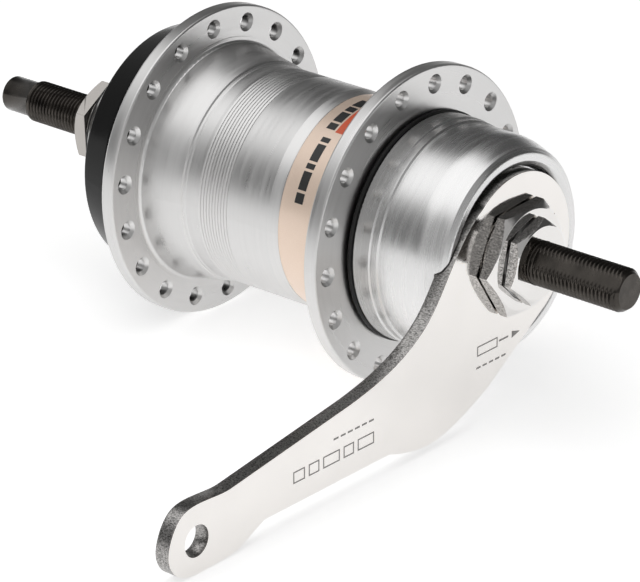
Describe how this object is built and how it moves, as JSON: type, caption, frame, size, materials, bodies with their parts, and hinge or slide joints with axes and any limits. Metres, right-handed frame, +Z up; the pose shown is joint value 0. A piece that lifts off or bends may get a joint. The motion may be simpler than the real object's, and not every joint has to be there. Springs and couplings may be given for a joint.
{
  "type": "bicycle hub gear",
  "caption": "Rear bicycle hub gear with spoked flanges, planetary gears, a coaster brake and its reaction arm on a threaded axle.",
  "frame": {"origin": "on the axle's axis, midway between the two spoke flanges' marked faces", "axes": "+Y along the axle from the sprocket side to the brake-arm side, +X the bicycle's forward direction, +Z up"},
  "size_m": [0.1423, 0.1755, 0.07],
  "materials": {
    "turned_aluminium": "fine turned, satin, clear anodised",
    "label_paint": "satin champagne paint",
    "black_steel": "black oxide, lightly oiled",
    "bright_chrome": "polished chrome plate",
    "satin_chrome": "satin chrome plate with faint circular grain",
    "hardened_steel": "ground and greased steel",
    "ball_steel": "polished bearing steel",
    "plated_steel": "zinc plated sheet",
    "spring_steel": "drawn wire",
    "black_rubber": "moulded, slightly glossy",
    "black_plastic": "moulded gloss black"
  },
  "bodies": {
    "axle": {"axle": "black_steel", "sun_gear": "hardened_steel", "drive_side_cone": "hardened_steel", "drive_side_cone_seal": "black_rubber", "drive_side_locknut": "bright_chrome", "brake_cone": "hardened_steel", "cover_seal": "black_rubber", "brake_cover": "satin_chrome", "arm_spacer": "plated_steel", "brake_arm": "bright_chrome", "arm_nut": "bright_chrome", "brake_side_locknut": "bright_chrome", "shoe_spring_ring": "spring_steel"},
    "hub_shell": {"hub_shell": "turned_aluminium", "label_band": "label_paint", "drive_side_ball_cup": "hardened_steel", "brake_side_ball_cup": "hardened_steel", "low_gear_ratchet": "hardened_steel", "brake_drum": "hardened_steel"},
    "driver": {"driver": "black_steel", "driver_dust_cap": "black_plastic"},
    "sliding_clutch": {"sliding_clutch": "hardened_steel"},
    "push_rod": {"push_rod": "hardened_steel", "axle_key": "hardened_steel", "rod_return_spring": "spring_steel"},
    "ring_gear": {"ring_gear": "hardened_steel", "ring_pawl_springs": "spring_steel"},
    "planet_carrier": {"planet_carrier": "hardened_steel", "planet_pins": "hardened_steel", "carrier_pawl_springs": "spring_steel"},
    "drive_side_bearing": {"drive_side_balls": "ball_steel", "drive_side_ball_retainer": "plated_steel"},
    "brake_side_bearing": {"brake_side_balls": "ball_steel", "brake_side_ball_retainer": "plated_steel"},
    "driver_bearing": {"driver_balls": "ball_steel", "driver_ball_retainer": "plated_steel"},
    "brake_cam": {"brake_cam": "hardened_steel", "cam_clutch_spring": "spring_steel"},
    "planet_gear_1": {"planet_gear_1": "hardened_steel"},
    "planet_gear_2": {"planet_gear_2": "hardened_steel"},
    "planet_gear_3": {"planet_gear_3": "hardened_steel"},
    "planet_gear_4": {"planet_gear_4": "hardened_steel"},
    "ring_pawl_1": {"ring_pawl_1": "hardened_steel"},
    "carrier_pawl_1": {"carrier_pawl_1": "hardened_steel"},
    "ring_pawl_2": {"ring_pawl_2": "hardened_steel"},
    "carrier_pawl_2": {"carrier_pawl_2": "hardened_steel"},
    "brake_shoe_1": {"brake_shoe_1": "hardened_steel", "shoe_rollers_1": "hardened_steel"},
    "brake_shoe_2": {"brake_shoe_2": "hardened_steel", "shoe_rollers_2": "hardened_steel"},
    "brake_shoe_3": {"brake_shoe_3": "hardened_steel", "shoe_rollers_3": "hardened_steel"}
  },
  "joints": [
    {"name": "hub_shell_spin", "type": "hinge", "parent": "axle", "child": "hub_shell", "pos_m": [0, 0, 0], "axis": [0, 1, 0], "continuous": true},
    {"name": "driver_spin", "type": "hinge", "parent": "axle", "child": "driver", "pos_m": [0, 0, 0], "axis": [0, 1, 0], "continuous": true},
    {"name": "ring_gear_spin", "type": "hinge", "parent": "axle", "child": "ring_gear", "pos_m": [0, 0, 0], "axis": [0, 1, 0], "continuous": true},
    {"name": "planet_carrier_spin", "type": "hinge", "parent": "axle", "child": "planet_carrier", "pos_m": [0, 0, 0], "axis": [0, 1, 0], "continuous": true},
    {"name": "drive_side_bearing_spin", "type": "hinge", "parent": "axle", "child": "drive_side_bearing", "pos_m": [0, 0, 0], "axis": [0, 1, 0], "continuous": true},
    {"name": "brake_side_bearing_spin", "type": "hinge", "parent": "axle", "child": "brake_side_bearing", "pos_m": [0, 0, 0], "axis": [0, 1, 0], "continuous": true},
    {"name": "driver_bearing_spin", "type": "hinge", "parent": "axle", "child": "driver_bearing", "pos_m": [0, 0, 0], "axis": [0, 1, 0], "continuous": true},
    {"name": "planet_gear_1_spin", "type": "hinge", "parent": "planet_carrier", "child": "planet_gear_1", "pos_m": [0.012, -0.0093, 0], "axis": [0, 1, 0], "continuous": true},
    {"name": "planet_gear_2_spin", "type": "hinge", "parent": "planet_carrier", "child": "planet_gear_2", "pos_m": [0, -0.0093, 0.012], "axis": [0, 1, 0], "continuous": true},
    {"name": "planet_gear_3_spin", "type": "hinge", "parent": "planet_carrier", "child": "planet_gear_3", "pos_m": [-0.012, -0.0093, 0], "axis": [0, 1, 0], "continuous": true},
    {"name": "planet_gear_4_spin", "type": "hinge", "parent": "planet_carrier", "child": "planet_gear_4", "pos_m": [0, -0.0093, -0.012], "axis": [0, 1, 0], "continuous": true},
    {"name": "push_rod_slide", "type": "slide", "parent": "axle", "child": "push_rod", "axis": [0, 1, 0], "range_m": [-0.0032, 0.0032], "deforming": ["rod_return_spring"]},
    {"name": "sliding_clutch_slide", "type": "slide", "parent": "driver", "child": "sliding_clutch", "axis": [0, 1, 0], "range_m": [-0.0032, 0.0032]},
    {"name": "ring_pawl_1_swing", "type": "hinge", "parent": "ring_gear", "child": "ring_pawl_1", "pos_m": [0.0168, -0.0225, 0.005], "axis": [0, 1, 0], "range_deg": [0, 15], "stiffness_Nm_per_rad": 0.02, "springref_deg": -17.19},
    {"name": "carrier_pawl_1_swing", "type": "hinge", "parent": "planet_carrier", "child": "carrier_pawl_1", "pos_m": [0.0168, -0.0008, 0.005], "axis": [0, 1, 0], "range_deg": [-15, 0], "stiffness_Nm_per_rad": 0.02},
    {"name": "ring_pawl_2_swing", "type": "hinge", "parent": "ring_gear", "child": "ring_pawl_2", "pos_m": [-0.0168, -0.0225, -0.005], "axis": [0, 1, 0], "range_deg": [0, 15], "stiffness_Nm_per_rad": 0.02, "springref_deg": -17.19},
    {"name": "carrier_pawl_2_swing", "type": "hinge", "parent": "planet_carrier", "child": "carrier_pawl_2", "pos_m": [-0.0168, -0.0008, -0.005], "axis": [0, 1, 0], "range_deg": [-15, 0], "stiffness_Nm_per_rad": 0.02},
    {"name": "brake_cam_turn", "type": "hinge", "parent": "axle", "child": "brake_cam", "pos_m": [0, 0, 0], "axis": [0, 1, 0], "range_deg": [-20, 0]},
    {"name": "brake_shoe_1_slide", "type": "slide", "parent": "axle", "child": "brake_shoe_1", "axis": [0, 0, 1], "range_m": [0, 0.0004]},
    {"name": "brake_shoe_2_slide", "type": "slide", "parent": "axle", "child": "brake_shoe_2", "axis": [-0.866, 0, -0.5], "range_m": [0, 0.0004]},
    {"name": "brake_shoe_3_slide", "type": "slide", "parent": "axle", "child": "brake_shoe_3", "axis": [0.866, 0, -0.5], "range_m": [0, 0.0004]}
  ],
  "couplings": [
    {"joint": "driver_spin", "follows": "hub_shell_spin", "ratio": 1},
    {"joint": "ring_gear_spin", "follows": "hub_shell_spin", "ratio": 1},
    {"joint": "planet_carrier_spin", "follows": "hub_shell_spin", "ratio": 0.73333},
    {"joint": "drive_side_bearing_spin", "follows": "hub_shell_spin", "ratio": 1},
    {"joint": "brake_side_bearing_spin", "follows": "hub_shell_spin", "ratio": 0.56266},
    {"joint": "driver_bearing_spin", "follows": "hub_shell_spin", "ratio": 0.5936},
    {"joint": "planet_gear_1_spin", "follows": "hub_shell_spin", "ratio": 0.8381},
    {"joint": "planet_gear_2_spin", "follows": "hub_shell_spin", "ratio": 0.8381},
    {"joint": "planet_gear_3_spin", "follows": "hub_shell_spin", "ratio": 0.8381},
    {"joint": "planet_gear_4_spin", "follows": "hub_shell_spin", "ratio": 0.8381},
    {"joint": "sliding_clutch_slide", "follows": "push_rod_slide", "ratio": 1},
    {"joint": "brake_shoe_1_slide", "follows": "brake_cam_turn", "m_per_rad": -0.00114},
    {"joint": "brake_shoe_2_slide", "follows": "brake_cam_turn", "m_per_rad": -0.00114},
    {"joint": "brake_shoe_3_slide", "follows": "brake_cam_turn", "m_per_rad": -0.00114}
  ]
}
